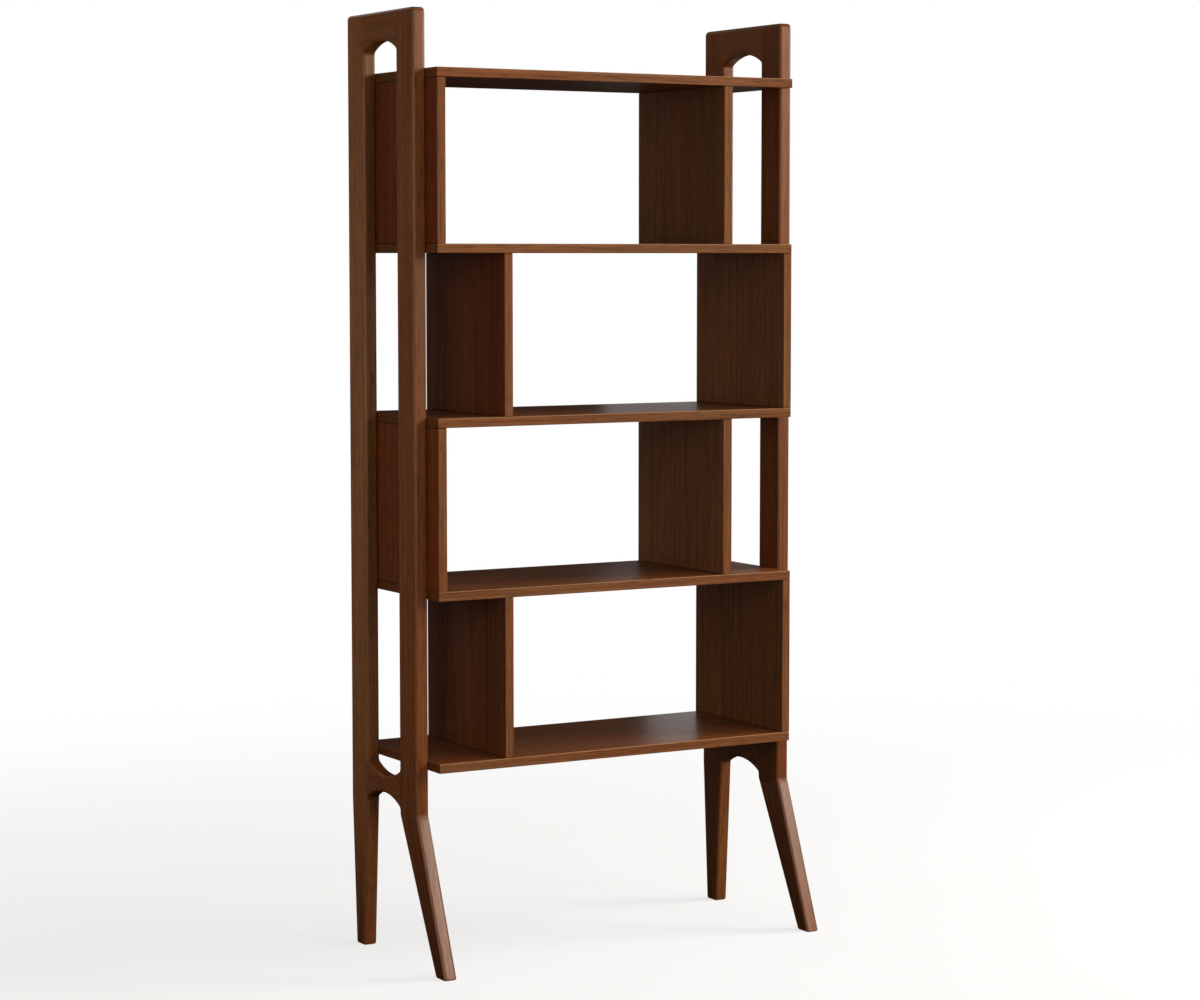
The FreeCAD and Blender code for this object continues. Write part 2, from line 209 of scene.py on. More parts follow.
def choose(piece, kind, test):
    """Selects the vertices, edges or faces of a piece in edit mode for which the test holds."""
    bpy.ops.mesh.select_mode(type={"verts": "VERT", "edges": "EDGE", "faces": "FACE"}[kind])
    bpy.ops.mesh.select_all(action="DESELECT")
    mesh = bmesh.from_edit_mesh(piece.data)
    chosen = [item for item in getattr(mesh, kind) if test(item)]
    if not chosen:
        raise RuntimeError(f"{piece.name}: none of the {kind} fits")
    for item in chosen:
        item.select_set(True)
    mesh.select_flush_mode()
    bmesh.update_edit_mesh(piece.data)


def add_block(name, low, high):
    """Plain block between two corners, to be shaped further or used as a cutter."""
    low = Vector(low)
    high = Vector(high)
    bpy.ops.object.select_all(action="DESELECT")
    bpy.ops.mesh.primitive_cube_add(size=1, location=(low + high) / 2, scale=high - low)
    bpy.ops.object.transform_apply(location=True, rotation=True, scale=True)
    block = bpy.context.object
    block.name = name
    return block


def combine(piece, operation, corners):
    """Joins blocks to a piece with a Boolean, or cuts them out of it."""
    blocks = [add_block("joinery_block", low, high) for low, high in corners]
    bpy.ops.object.select_all(action="DESELECT")
    for block in blocks:
        block.select_set(True)
    bpy.context.view_layer.objects.active = blocks[0]
    if len(blocks) > 1:
        bpy.ops.object.join()
    tool = bpy.context.object
    modifier = piece.modifiers.new(operation.lower(), "BOOLEAN")
    modifier.operation = operation
    modifier.solver = "EXACT"
    modifier.object = tool
    activate(piece)
    bpy.ops.object.modifier_apply(modifier=modifier.name)
    bpy.data.objects.remove(tool)


def trim(piece, point, normal):
    """Cuts a piece by a plane, drops what lies on the normal's side and closes the cut."""
    activate(piece)
    bpy.ops.object.mode_set(mode="EDIT")
    bpy.ops.mesh.select_all(action="SELECT")
    bpy.ops.mesh.bisect(plane_co=point, plane_no=normal, use_fill=True, clear_outer=True)
    bpy.ops.object.mode_set(mode="OBJECT")


def copy_of(piece, name):
    """Copy of a piece with its own mesh."""
    activate(piece)
    bpy.ops.object.duplicate(linked=False)
    twin = bpy.context.object
    twin.name = name
    return twin


def move(piece, offset):
    """Moves a piece's mesh, so that its object stays at the origin."""
    activate(piece)
    bpy.ops.object.mode_set(mode="EDIT")
    bpy.ops.mesh.select_all(action="SELECT")
    bpy.ops.transform.translate(value=offset)
    bpy.ops.object.mode_set(mode="OBJECT")


def plank_of(group, number):
    """Place in the wood of one piece of a group."""
    start, step = PLANKS[group]
    return start + step * number


def tone_with_painted_light(piece, broad_tone_and_light, edge_sheen_tone):
    """Marks the tone of each point of a piece, with painted light and shade in it.

    The broad faces differ from board to board, partly in colour and partly by painted light and shade, the
    narrow front and rear edges of the boards are greyed by a painted sheen, and the legs get painted shade
    towards the floor.
    """
    knee = bpy.context.scene.bookshelf_frame.knee_height
    tones = []
    for vertex in piece.data.vertices:
        broad = 1 - vertex.normal.y**2
        # Painted shade on the legs, darker towards the floor.
        painted_foot_darkening = PAINTED_FOOT_SHADE * max(0.0, 1 - vertex.co.z / knee)
        # edge is the painted sheen of a board's front and rear edges, face the tone with painted light and
        # shade.
        for face, edge in zip(broad_tone_and_light, edge_sheen_tone):
            tones.append(edge + broad * (face * (1 - painted_foot_darkening) - edge))
    marks = piece.data.attributes.new("tone", "FLOAT_VECTOR", "POINT")
    marks.data.foreach_set("vector", tones)


def finish_piece(piece, node, slot, material, plank):
    """Smooths a piece, gives it its stretch of wood and its tones with painted light, and stands it for its
    CAD node.
    """
    activate(piece)
    bpy.ops.object.shade_smooth_by_angle(angle=SMOOTH_ANGLE)
    modifier = piece.modifiers.new("flat_faces", "WEIGHTED_NORMAL")
    modifier.keep_sharp = True
    modifier.weight = 100
    bpy.ops.object.modifier_apply(modifier=modifier.name)
    shift = piece.data.attributes.new("plank", "FLOAT", "POINT")
    shift.data.foreach_set("value", [plank] * len(piece.data.vertices))
    tone_with_painted_light(piece, BOARD_TONES_AND_PAINTED_LIGHT.get(node, PLAIN_TONE), PAINTED_EDGE_SHEEN.get(slot, PLAIN_TONE))
    piece.data.materials.clear()
    piece.data.materials.append(material)
    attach(piece, "root")
    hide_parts(node)


# Materials.
# Patterns in the grain: patches a metre along and across the fibres, detail and roughness.
# Fibres 3.5 mm wide and 0.3 m long and pores 2 mm wide and 42 mm long are coarser than real ones, so that
# they show in the picture. Streaks are 14 mm wide and 0.7 m long, patches of hue 0.1 m wide and 0.4 m long.
GRAIN_NOISE = {
    "fibres": (3.4, 285.0, 3.0, 0.65),
    "streaks": (1.4, 70.0, 3.0, 0.55),
    "pores": (24.0, 480.0, 2.0, 0.5),
    "patches": (2.5, 10.0, 1.0, 0.5),
}
# Growth rings 9 mm apart. The wave texture draws a ring every 2 pi / 20 units.
RING_WIDTH = 0.009
WAVE_UNIT = 20
RING_STRETCH = (0.16, 1.0, 1.0)
PITH = (0.0, 0.05, 0.08)
# From one plank number to the next, the wood is taken from a place this far away.
PLANK_SHIFT = (1.37, 0.83, 0.61)
REDDER = (1.18, 0.93, 0.80)
MORE_OLIVE = (0.82, 1.07, 1.20)
# How far pores, the painted highlight on the shelves' upper arrises and joint lines cover the wood, and how
# dark they are beside dark grain.
PORE_COVER = 0.7
PORE_SHADE = 0.6
ARRIS_HIGHLIGHT_COVER = 0.8
JOINT_COVER = 0.85
JOINT_SHADE = 0.3
PORE_DEPTH = -0.6
LACQUER_TINT = (1.0, 0.94, 0.83, 1.0)
# How much rougher the lacquer is between the fibres.
DULLER = 0.1


def add_node(tree, kind, inputs=None, **settings):
    """Adds a node, sets its options and its inputs, and links the inputs that are given as sockets."""
    node = tree.nodes.new(kind)
    for name, value in settings.items():
        setattr(node, name, value)
    for name, value in (inputs or {}).items():
        if isinstance(value, bpy.types.NodeSocket):
            tree.links.new(value, node.inputs[name])
        else:
            node.inputs[name].default_value = value
    return node


def stained_wood(name, tones, turn, contrast, figure, gloss, arris=None):
    """Close-grained hardwood, stained walnut brown and sprayed with satin lacquer.

    To the eye: long fine fibres along the piece, broader streaks, a faint arched figure of growth rings,
    short dark pores, and a soft sheen that is a little duller between fibres. The legs, and less so the posts
    and rails, were sanded and lacquered once more, so that they carry a sharper gloss.
    """
    dark, mid, light = tones
    strength, smoothest = gloss
    material = bpy.data.materials.new(name)
    material.use_nodes = True
    tree = material.node_tree
    tree.nodes.clear()
    place = add_node(tree, "ShaderNodeTexCoord")
    plank = add_node(tree, "ShaderNodeAttribute", attribute_name="plank")
    # Each piece is cut from another stretch of the same wood.
    shifted = add_node(
        tree,
        "ShaderNodeVectorMath",
        {0: plank.outputs["Vector"], 1: PLANK_SHIFT, 2: place.outputs["Object"]},
        operation="MULTIPLY_ADD",
    )
    # Turned so that the fibres run along X, in metres.
    grain = add_node(tree, "ShaderNodeMapping", {"Vector": shifted.outputs[0], "Rotation": turn})
    # Noise drawn out along the fibres.
    noise = {}
    for pattern, (along, across, detail, harshness) in GRAIN_NOISE.items():
        drawn_out = add_node(
            tree,
            "ShaderNodeVectorMath",
            {0: grain.outputs[0], 1: (along, across, across)},
            operation="MULTIPLY",
        )
        texture = add_node(
            tree,
            "ShaderNodeTexNoise",
            {"Vector": drawn_out.outputs[0], "Scale": 1.0, "Detail": detail, "Roughness": harshness},
        )
        noise[pattern] = texture.outputs["Fac"]
    # Growth rings round a pith beside the piece, drawn out along the fibres into arches.
    ring_space = add_node(
        tree,
        "ShaderNodeVectorMath",
        {0: grain.outputs[0], 1: RING_STRETCH, 2: PITH},
        operation="MULTIPLY_ADD",
    )
    rings = add_node(
        tree,
        "ShaderNodeTexWave",
        {
            "Vector": ring_space.outputs[0],
            "Scale": 2 * math.pi / (WAVE_UNIT * RING_WIDTH),
            "Distortion": 9.0,
            "Detail": 2.0,
            "Detail Scale": 0.28,
            "Detail Roughness": 0.6,
        },
        wave_type="RINGS",
        rings_direction="X",
        wave_profile="SAW",
    )
    pore_depth = add_node(
        tree,
        "ShaderNodeMapRange",
        {"Value": noise["pores"], "From Min": 0.54, "From Max": 0.68, "To Min": 0.0, "To Max": 1.0},
    )
    # The patterns are weighed and added up, with the middle of the ramp as their mean.
    weights = ((noise["fibres"], contrast), (rings.outputs["Fac"], figure), (noise["streaks"], contrast / 2))
    shade = 0.5 - sum(weight for _, weight in weights) / 2
    for pattern, weight in weights:
        added = add_node(tree, "ShaderNodeMath", {0: pattern, 1: weight, 2: shade}, operation="MULTIPLY_ADD")
        shade = added.outputs[0]
    ramp = add_node(tree, "ShaderNodeValToRGB", {"Fac": shade})
    ramp.color_ramp.elements[0].position = 0.30
    ramp.color_ramp.elements[0].color = (*dark, 1)
    ramp.color_ramp.elements[1].position = 0.70
    ramp.color_ramp.elements[1].color = (*light, 1)
    ground = ramp.color_ramp.elements.new(0.50)
    ground.color = (*mid, 1)
    pore_cover = add_node(
        tree, "ShaderNodeMath", {0: pore_depth.outputs[0], 1: PORE_COVER}, operation="MULTIPLY"
    )
    pore_colour = [PORE_SHADE * c for c in dark]
    porous = add_node(
        tree,
        "ShaderNodeMix",
        {"Factor": pore_cover.outputs[0], "A": ramp.outputs["Color"], "B": (*pore_colour, 1)},
        data_type="RGBA",
    )
    # Some patches of the wood are redder and some more olive.
    hue = add_node(
        tree,
        "ShaderNodeMix",
        {"Factor": noise["patches"], "A": (*REDDER, 1), "B": (*MORE_OLIVE, 1)},
        data_type="RGBA",
    )
    mottled = add_node(
        tree,
        "ShaderNodeVectorMath",
        {0: porous.outputs["Result"], 1: hue.outputs["Result"]},
        operation="MULTIPLY",
    )
    wood_colour = mottled.outputs[0]
    if arris is not None:
        # The shelves' upper eased edges get a painted highlight, where they catch the light, and boards meet
        # in dark lines.
        marks = (("arris", ARRIS_HIGHLIGHT_COVER, arris), ("joint", JOINT_COVER, [JOINT_SHADE * c for c in dark]))
        for mark, share, paint in marks:
            place_of_mark = add_node(tree, "ShaderNodeAttribute", attribute_name=mark)
            cover = add_node(
                tree, "ShaderNodeMath", {0: place_of_mark.outputs["Fac"], 1: share}, operation="MULTIPLY"
            )
            painted = add_node(
                tree,
                "ShaderNodeMix",
                {"Factor": cover.outputs[0], "A": wood_colour, "B": (*paint, 1)},
                data_type="RGBA",
            )
            wood_colour = painted.outputs["Result"]
    # Tones that differ from board to board, with painted light, shade and sheen in them.
    tone = add_node(tree, "ShaderNodeAttribute", attribute_name="tone")
    stained = add_node(
        tree,
        "ShaderNodeVectorMath",
        {0: wood_colour, 1: tone.outputs["Vector"]},
        operation="MULTIPLY",
    )
    roughness = add_node(
        tree,
        "ShaderNodeMapRange",
        {
            "Value": noise["fibres"],
            "From Min": 0.25,
            "From Max": 0.75,
            "To Min": smoothest + DULLER,
            "To Max": smoothest,
        },
    )
    height = add_node(
        tree,
        "ShaderNodeMath",
        {0: pore_depth.outputs[0], 1: PORE_DEPTH, 2: noise["fibres"]},
        operation="MULTIPLY_ADD",
    )
    bump = add_node(
        tree,
        "ShaderNodeBump",
        {"Height": height.outputs[0], "Strength": 0.2, "Distance": 0.0003},
    )
    shader = add_node(
        tree,
        "ShaderNodeBsdfPrincipled",
        {
            "Base Color": stained.outputs[0],
            "Roughness": roughness.outputs[0],
            "IOR": 1.5,
            "Specular IOR Level": strength,
            "Specular Tint": LACQUER_TINT,
            "Normal": bump.outputs[0],
        },
    )
    add_node(tree, "ShaderNodeOutputMaterial", {"Surface": shader.outputs[0]})
    return material


def frame_wood(name, turn, contrast, gloss):
    """Stained solid wood of a frame piece, with its fibres turned along the piece."""
    colours = bpy.context.scene.bookshelf_colours
    tones = [tuple(tone) for tone in (colours.frame_dark, colours.frame_mid, colours.frame_light)]
    return stained_wood(name, tones, turn, contrast, figure=0.03, gloss=gloss)


def board_wood(name, turn):
    """Stained veneer of a board, with its fibres turned along the board."""
    colours = bpy.context.scene.bookshelf_colours
    tones = [tuple(tone) for tone in (colours.board_dark, colours.board_mid, colours.board_light)]
    # The painted highlight along the shelves' upper eased edges.
    arris = tuple(colours.painted_arris_highlight)
    return stained_wood(name, tones, turn, contrast=0.8, figure=0.12, gloss=(0.15, 0.28), arris=arris)


# Turns that lay a piece's length along the pattern's X.
ALONG_X = (0.0, 0.0, 0.0)
ALONG_Y = (0.0, 0.0, -math.pi / 2)
ALONG_Z = (0.0, math.pi / 2, 0.0)


# Side frames.
def frame_places(sizes):
    """Depths and heights that the frame's outline and joints share."""
    front = front_post_low.y
    inner_front = front + sizes.post_width
    rear = rear_post_high.y
    inner_rear = rear - sizes.post_width
    half_slot = (inner_rear - inner_front) / 2
    radius = (half_slot**2 + sizes.arch_rise**2) / (2 * sizes.arch_rise)
    return {
        "toe": front_leg_low.y,
        "front": front,
        "inner_front": inner_front,
        "middle": inner_front + half_slot,
        "inner_rear": inner_rear,
        "rear": rear,
        "crotch": sizes.crotch_height,
        "heel": sizes.crotch_height - sizes.heel_drop,
        "slot_bottom": sizes.crotch_height + 2 * sizes.arch_rise + sizes.lower_rail,
        "slot_top": sizes.height - sizes.top_rail - sizes.arch_rise,
        "arch_radius": radius,
        "arch_turn": 2 * math.asin(half_slot / radius),
    }


def start_line(point):
    """Puts the first vertex of an outline."""
    bpy.ops.mesh.select_mode(type="VERT")
    bpy.ops.mesh.select_all(action="DESELECT")
    bpy.ops.mesh.primitive_plane_add(size=SEED, location=(0, *point))
    bpy.ops.mesh.merge(type="CENTER")


def draw_line(start, points):
    """Extrudes the selected vertex from point to point."""
    for point in points:
        step = (0, point[0] - start[0], point[1] - start[1])
        bpy.ops.mesh.extrude_region_move(TRANSFORM_OT_translate={"value": step})
        start = point


def draw_arch(middle, level, turn):
    """Spins the selected vertex round the arch's centre, clockwise about the operator's axis."""
    bpy.ops.mesh.spin(steps=ARCH_STEPS, angle=turn, center=(0, middle, level), axis=(-1, 0, 0))


def round_corners(piece, corners, radius):
    """Rounds corners of the outline, each given by its place and the two directions that meet there."""
    for (y, z), before, after in corners:
        turn = Vector(before).angle(Vector(after))
        choose(piece, "verts", lambda v: abs(v.co.y - y) < TOUCH and abs(v.co.z - z) < TOUCH)
        bpy.ops.mesh.bevel(affect="VERTICES", offset=radius * math.tan(turn / 2), segments=CORNER_STEPS)


def round_rim(piece, facing, radius):
    """Rounds the rim of a flat side by insets that climb a quarter circle."""
    choose(piece, "faces", lambda face: face.normal.x * facing > FLAT)
    angles = [step * math.pi / 2 / ROUND_STEPS for step in range(ROUND_STEPS + 1)]
    for lower, upper in zip(angles, angles[1:]):
        inwards = radius * (math.cos(lower) - math.cos(upper))
        outwards = radius * (math.sin(upper) - math.sin(lower))
        bpy.ops.mesh.inset(thickness=inwards, depth=outwards, use_even_offset=True)


def shape_frame_blank():
    """Whole side frame as it is shaped after glue-up, centred on its own thickness."""
    sizes = bpy.context.scene.bookshelf_frame
    at = frame_places(sizes)
    bpy.ops.object.select_all(action="DESELECT")
    bpy.ops.mesh.primitive_plane_add(size=SEED)
    blank = bpy.context.object
    blank.name = "frame_blank"
    bpy.ops.object.mode_set(mode="EDIT")
    bpy.ops.mesh.select_all(action="SELECT")
    bpy.ops.mesh.delete(type="VERT")
    # The legs are drawn on below the floor and sawn off there.
    below = 0.03
    toe_slope = (at["front"] - at["toe"]) / sizes.knee_height
    heel_foot = at["toe"] + sizes.front_foot
    heel_slope = (at["inner_front"] - heel_foot) / at["heel"]
    rear_foot_back = at["rear"] - sizes.rear_taper
    back_slope = sizes.rear_taper / sizes.taper_height
    rear_foot_front = rear_foot_back - sizes.rear_foot
    shin_slope = (at["inner_rear"] - rear_foot_front) / sizes.crotch_height
    toe = (at["toe"] - toe_slope * below, -below)
    heel = (at["inner_front"], at["heel"])
    crotch_front = (at["inner_front"], at["crotch"])
    crotch_rear = (at["inner_rear"], at["crotch"])
    taper = (at["rear"], sizes.taper_height)
    top_rear = (at["rear"], sizes.height)
    top_front = (at["front"], sizes.height)
    knee = (at["front"], sizes.knee_height)
    start_line(toe)
    draw_line(toe, [(heel_foot - heel_slope * below, -below), heel, crotch_front])
    draw_arch(at["middle"], at["crotch"] + sizes.arch_rise - at["arch_radius"], -at["arch_turn"])
    shin = (rear_foot_front - shin_slope * below, -below)
    calf = (rear_foot_back - back_slope * below, -below)
    draw_line(crotch_rear, [shin, calf, taper, top_rear, top_front, knee, toe])
    slot_low_front = (at["inner_front"], at["slot_bottom"])
    slot_low_rear = (at["inner_rear"], at["slot_bottom"])
    slot_high_front = (at["inner_front"], at["slot_top"])
    slot_high_rear = (at["inner_rear"], at["slot_top"])
    start_line(slot_low_front)
    draw_arch(at["middle"], at["slot_bottom"] - sizes.arch_rise + at["arch_radius"], at["arch_turn"])
    draw_line(slot_low_rear, [slot_high_rear])
    draw_arch(at["middle"], at["slot_top"] + sizes.arch_rise - at["arch_radius"], at["arch_turn"])
    draw_line(slot_high_front, [slot_low_front])
    bpy.ops.mesh.select_all(action="SELECT")
    bpy.ops.mesh.remove_doubles(threshold=TOUCH)
    up = (0, 1)
    half = at["arch_turn"] / 2
    rising = (math.cos(half), math.sin(half))
    round_corners(blank, [(crotch_front, up, rising), (crotch_rear, up, rising)], sizes.arch_corner)
    slot_corners = [slot_low_front, slot_low_rear, slot_high_front, slot_high_rear]
    round_corners(blank, [(corner, up, rising) for corner in slot_corners], sizes.arch_corner)
    round_corners(blank, [(corner, up, (1, 0)) for corner in (top_front, top_rear)], sizes.top_corner)
    round_corners(blank, [(heel, up, (heel_slope, 1))], sizes.heel_round)
    round_corners(blank, [(knee, up, (toe_slope, 1))], sizes.knee_round)
    round_corners(blank, [(taper, up, (back_slope, 1))], sizes.taper_round)
    bpy.ops.mesh.select_mode(type="EDGE")
    bpy.ops.mesh.select_all(action="SELECT")
    bpy.ops.mesh.fill()
    bpy.ops.mesh.select_all(action="SELECT")
    wall = sizes.thickness / 2 - sizes.edge_round
    bpy.ops.transform.translate(value=(-wall, 0, 0))
    bpy.ops.mesh.extrude_region_move(TRANSFORM_OT_translate={"value": (2 * wall, 0, 0)})
    bpy.ops.mesh.select_all(action="SELECT")
    bpy.ops.mesh.normals_make_consistent(inside=False)
    for facing in (-1, 1):
        round_rim(blank, facing, sizes.edge_round)
    bpy.ops.object.mode_set(mode="OBJECT")
    trim(blank, (0, 0, 0), (0, 0, -1))
    bpy.ops.object.mode_set(mode="EDIT")
    choose(blank, "edges", lambda e: all(abs(v.co.z) < TOUCH for v in e.verts))
    bpy.ops.mesh.bevel(affect="EDGES", offset=sizes.foot_arris, segments=ARRIS_STEPS)
    bpy.ops.object.mode_set(mode="OBJECT")
    return blank


def rail_zones(sizes, at):
    """Blocks that hold the two rails with their corner curves, each let into the posts by the housing."""
    front = at["inner_front"] - sizes.rail_housing
    rear = at["inner_rear"] + sizes.rail_housing
    reach = sizes.thickness
    spans = {
        "top_rail": (at["slot_top"] - sizes.arch_corner, sizes.height + reach),
        "lower_rail": (at["crotch"] - sizes.arch_corner, at["slot_bottom"] + sizes.arch_corner),
    }
    return {name: ((-reach, front, low), (reach, rear, high)) for name, (low, high) in spans.items()}


def rail_tenons(sizes, at, name, room):
    """Both tenons of a rail, the front one first, or their mortises where room is given."""
    half = sizes.tenon_thickness / 2 + room
    reach = sizes.rail_housing + sizes.tenon_length + MORTISE_ROOM * room
    corner = {"top_rail": at["slot_top"], "lower_rail": at["crotch"]}[name]
    low = corner + sizes.tenon_shoulder - room
    high = corner + sizes.tenon_shoulder + sizes.tenon_height + room
    front = ((-half, at["inner_front"] - reach, low), (half, at["inner_front"], high))
    rear = ((-half, at["inner_rear"], low), (half, at["inner_rear"] + reach, high))
    return [front, rear]


def leg_tenon(sizes, at, room):
    """Tenon on top of the front leg, or its mortise where room is given."""
    half = sizes.tenon_thickness / 2 + room
    front = at["front"] + sizes.leg_tenon_setback
    rear = front + sizes.leg_tenon_width
    root = min(at["heel"], sizes.knee_height) - 2 * sizes.leg_joint_drop
    tip = max(at["heel"], sizes.knee_height) + sizes.leg_tenon_length
    return (-half, front - room, root), (half, rear + room, tip + MORTISE_ROOM * room)


def shelf_stubs(node, side, room):
    """Stub tenons on one end of a shelf, the front one first, or their mortises where room is given."""
    sizes = bpy.context.scene.bookshelf_boards
    low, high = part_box(node)
    level = (low.z + high.z) / 2
    ends = (SIDES[side] * (high.x - 2 * sizes.stub_length), SIDES[side] * (high.x + MORTISE_ROOM * room))
    half_width = sizes.stub_width / 2 + room
    half_height = sizes.stub_thickness / 2 + room
    stubs = []
    for post_low, post_high in ((front_post_low, front_post_high), (rear_post_low, rear_post_high)):
        centre = (post_low.y + post_high.y) / 2
        stub_low = (min(ends), centre - half_width, level - half_height)
        stub_high = (max(ends), centre + half_width, level + half_height)
        stubs.append((stub_low, stub_high))
    return stubs


def leg_joint(sizes, at):
    """Point and upward normal of the plane between the front post and the front leg."""
    drop = sizes.leg_joint_drop
    knee = Vector((0, at["front"], sizes.knee_height - drop))
    heel = Vector((0, at["inner_front"], at["heel"] - drop))
    along = heel - knee
    return knee, Vector((0, -along.z, along.y)).normalized()


def frame_offset(side):
    """Place of a frame across the bookshelf."""
    low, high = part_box(f"{side}_front_post")
    return Vector(((low.x + high.x) / 2, 0, 0))


def fit_posts(post, kind, joint, wood):
    """Copies a post into both side frames and cuts its mortises for the shelves' stub tenons."""
    room = bpy.context.scene.bookshelf_boards.clearance
    for number, side in enumerate(SIDES):
        piece = copy_of(post, f"{side}_{kind}_wood")
        move(piece, frame_offset(side))
        combine(piece, "DIFFERENCE", [shelf_stubs(node, side, room)[joint] for node in SHELVES])
        finish_piece(piece, f"{side}_{kind}", "frame_wood", wood, plank_of(kind, number))
    bpy.data.objects.remove(post)


class BOOKSHELF_OT_front_posts(bpy.types.Operator):
    """Add the front posts of both side frames"""

    bl_idname = "bookshelf.front_posts"
    bl_label = "Front Posts"

    def execute(self, context):
        sizes = context.scene.bookshelf_frame
        at = frame_places(sizes)
        post = shape_frame_blank()
        trim(post, (0, at["middle"], 0), (0, 1, 0))
        combine(post, "DIFFERENCE", list(rail_zones(sizes, at).values()))
        point, normal = leg_joint(sizes, at)
        trim(post, point, -normal)
        room = context.scene.bookshelf_boards.clearance
        mortises = [rail_tenons(sizes, at, name, room)[FRONT] for name in RAILS]
        combine(post, "DIFFERENCE", [*mortises, leg_tenon(sizes, at, room)])
        wood = frame_wood("walnut_stained_posts", ALONG_Z, contrast=0.7, gloss=(0.17, 0.28))
        fit_posts(post, "front_post", FRONT, wood)
        return {"FINISHED"}


class BOOKSHELF_OT_rear_posts(bpy.types.Operator):
    """Add the rear posts of both side frames, which run on as the tapered rear legs"""

    bl_idname = "bookshelf.rear_posts"
    bl_label = "Rear Posts"

    def execute(self, context):
        sizes = context.scene.bookshelf_frame
        at = frame_places(sizes)
        post = shape_frame_blank()
        trim(post, (0, at["middle"], 0), (0, -1, 0))
        combine(post, "DIFFERENCE", list(rail_zones(sizes, at).values()))
        room = context.scene.bookshelf_boards.clearance
        combine(post, "DIFFERENCE", [rail_tenons(sizes, at, name, room)[REAR] for name in RAILS])
        wood = frame_wood("walnut_stained_rear_posts", ALONG_Z, contrast=0.7, gloss=(0.15, 0.32))
        fit_posts(post, "rear_post", REAR, wood)
        return {"FINISHED"}


class BOOKSHELF_OT_front_legs(bpy.types.Operator):
    """Add the splayed front legs"""

    bl_idname = "bookshelf.front_legs"
    bl_label = "Front Legs"

    def execute(self, context):
        sizes = context.scene.bookshelf_frame
        at = frame_places(sizes)
        leg = shape_frame_blank()
        point, normal = leg_joint(sizes, at)
        trim(leg, point, normal)
        trim(leg, (0, at["inner_front"], 0), (0, 1, 0))
        combine(leg, "UNION", [leg_tenon(sizes, at, 0)])
        splay = math.atan2(at["front"] - at["toe"], sizes.knee_height)
        along_leg = (splay, math.pi / 2, 0.0)
        wood = frame_wood("walnut_stained_legs", along_leg, contrast=0.8, gloss=(0.24, 0.18))
        for number, side in enumerate(SIDES):
            piece = copy_of(leg, f"{side}_front_leg_wood")
            move(piece, frame_offset(side))
            finish_piece(piece, f"{side}_front_leg", "frame_wood", wood, plank_of("front_leg", number))
        bpy.data.objects.remove(leg)
        return {"FINISHED"}


class BOOKSHELF_OT_rails(bpy.types.Operator):
    """Add the arched rails that tie the posts of each side frame"""

    bl_idname = "bookshelf.rails"
    bl_label = "Rails"

    def execute(self, context):
        sizes = context.scene.bookshelf_frame
        at = frame_places(sizes)
        blank = shape_frame_blank()
        wood = frame_wood("walnut_stained_rails", ALONG_Y, contrast=0.45, gloss=(0.22, 0.28))
        for place, (name, (low, high)) in enumerate(rail_zones(sizes, at).items()):
            rail = copy_of(blank, name)
            trim(rail, (0, low[1], 0), (0, -1, 0))
            trim(rail, (0, high[1], 0), (0, 1, 0))
            trim(rail, (0, 0, low[2]), (0, 0, -1))
            trim(rail, (0, 0, high[2]), (0, 0, 1))
            combine(rail, "UNION", rail_tenons(sizes, at, name, 0))
            for number, side in enumerate(SIDES):
                piece = copy_of(rail, f"{side}_{name}_wood")
                move(piece, frame_offset(side))
                plank = plank_of("rails", number) + RAIL_STEP * place
                finish_piece(piece, f"{side}_rails", "frame_wood", wood, plank)
            bpy.data.objects.remove(rail)
        bpy.data.objects.remove(blank)
        return {"FINISHED"}


# Boards.
def ease_board(board):
    """Takes the arrises off a block."""
    arris = bpy.context.scene.bookshelf_boards.arris
    activate(board)
    bpy.ops.object.mode_set(mode="EDIT")
    bpy.ops.mesh.select_mode(type="EDGE")
    bpy.ops.mesh.select_all(action="SELECT")
    bpy.ops.mesh.bevel(affect="EDGES", offset=arris, segments=ARRIS_STEPS)
    bpy.ops.object.mode_set(mode="OBJECT")


def mark_arris(board, rubbed, jointed):
    """Marks the eased edges that get a painted highlight, and those that meet another board."""
    for name, test in (("arris", rubbed), ("joint", jointed)):
        marks = board.data.attributes.new(name, "FLOAT", "FACE")
        normals = [polygon.normal for polygon in board.data.polygons]
        eased = [max(abs(c) for c in normal) < FLAT and test(normal) for normal in normals]
        marks.data.foreach_set("value", [1.0 if mark else 0.0 for mark in eased])


def divider_boards():
    """Corners of each divider without its tongues, by CAD node."""
    tongue = bpy.context.scene.bookshelf_boards.tongue_height
    found = {}
    for row in ROWS:
        for side in SIDES:
            node = f"{row}_{side}_divider"
            low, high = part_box(node)
            found[node] = (low + Vector((0, 0, tongue)), high - Vector((0, 0, tongue)))
    return found


def tongue_blocks(sizes, low, high, room):
    """Tongues on a divider's lower and upper edge, or their grooves where room is given."""
    middle = (low.x + high.x) / 2
    half = sizes.tongue_thickness / 2 + room
    front = low.y + sizes.tongue_setback - room
    rear = high.y - sizes.tongue_setback + room
    reach = sizes.tongue_height + GROOVE_ROOM * room
    return [
        ((middle - half, front, low.z - reach), (middle + half, rear, low.z + sizes.tongue_height)),
        ((middle - half, front, high.z - sizes.tongue_height), (middle + half, rear, high.z + reach)),
    ]


